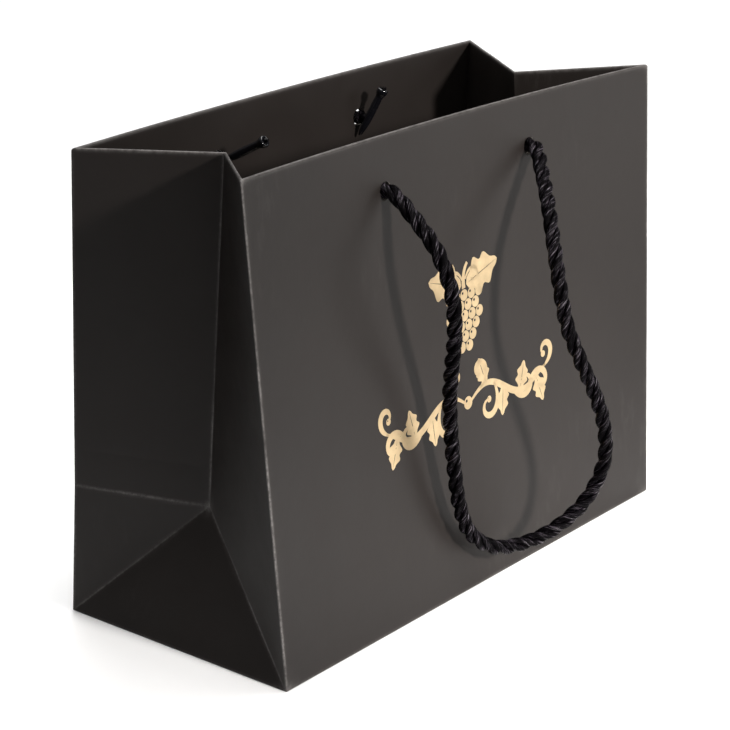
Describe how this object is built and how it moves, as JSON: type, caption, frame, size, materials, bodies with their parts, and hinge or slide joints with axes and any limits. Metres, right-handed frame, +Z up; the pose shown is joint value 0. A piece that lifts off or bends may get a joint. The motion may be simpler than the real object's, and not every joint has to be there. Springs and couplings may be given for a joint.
{
  "type": "gift bag",
  "caption": "Landscape laminated paper gift bag with creased side gussets, folded base, turned-in top and twisted rope handles that swing up for carrying.",
  "frame": {"origin": "middle of the base's underside, which is the surface the bag stands on", "axes": "+X along the bag's width to the right when seen from the front, +Y from the front panel to the back panel, +Z up"},
  "size_m": [0.2495, 0.1649, 0.1849],
  "materials": {
    "laminate": "dark brown-black art paper, matt film laminate",
    "reverse": "dark uncoated back of the printed sheet",
    "greyboard": "plain greyboard",
    "rope": "black three-strand twisted polypropylene cord",
    "toggle": "black moulded plastic"
  },
  "bodies": {
    "bag": {"front_panel": "laminate", "back_panel_lower": "laminate", "back_panel_upper": "laminate", "left_gusset_front": "laminate", "left_gusset_back": "laminate", "left_gusset_side_triangle": "laminate", "left_gusset_base_triangle": "laminate", "left_hem_front": "laminate", "left_hem_back": "laminate", "right_gusset_front": "laminate", "right_gusset_back": "laminate", "right_gusset_side_triangle": "laminate", "right_gusset_base_triangle": "laminate", "right_hem_front": "laminate", "right_hem_back": "laminate", "front_hem": "laminate", "back_hem": "laminate", "base_flap_front": "laminate", "base_flap_back": "laminate", "side_seam_flap": "reverse", "base_flap_left": "reverse", "base_flap_right": "reverse", "front_top_card": "greyboard", "back_top_card": "greyboard", "base_board": "greyboard", "front_rope_tail_left": "rope", "front_rope_tail_right": "rope", "back_rope_tail_left": "rope", "back_rope_tail_right": "rope", "front_toggle_left": "toggle", "front_toggle_right": "toggle", "back_toggle_left": "toggle", "back_toggle_right": "toggle"},
    "front_handle_root": {"front_rope_root_left": "rope", "front_rope_root_right": "rope"},
    "front_handle_loop": {"front_rope_loop": "rope"},
    "back_handle_root": {"back_rope_root_left": "rope", "back_rope_root_right": "rope"},
    "back_handle_loop": {"back_rope_loop": "rope"}
  },
  "joints": [
    {"name": "front_handle_swing", "type": "hinge", "parent": "bag", "child": "front_handle_root", "pos_m": [0, -0.04225, 0.168], "axis": [-1, 0, 0], "range_deg": [0, 88]},
    {"name": "front_handle_fold", "type": "hinge", "parent": "front_handle_root", "child": "front_handle_loop", "pos_m": [0, -0.06433, 0.14964], "axis": [-1, 0, 0], "range_deg": [0, 79.2]},
    {"name": "back_handle_swing", "type": "hinge", "parent": "bag", "child": "back_handle_root", "pos_m": [0, 0.0487, 0.168], "axis": [0.9992, 0.0405, 0], "range_deg": [0, 88]},
    {"name": "back_handle_fold", "type": "hinge", "parent": "back_handle_root", "child": "back_handle_loop", "pos_m": [-0.00293, 0.07223, 0.15191], "axis": [0.9992, 0.0405, 0], "range_deg": [0, 79.2]}
  ],
  "couplings": [
    {"joint": "front_handle_fold", "follows": "front_handle_swing", "ratio": 0.9},
    {"joint": "back_handle_fold", "follows": "back_handle_swing", "ratio": 0.9}
  ]
}
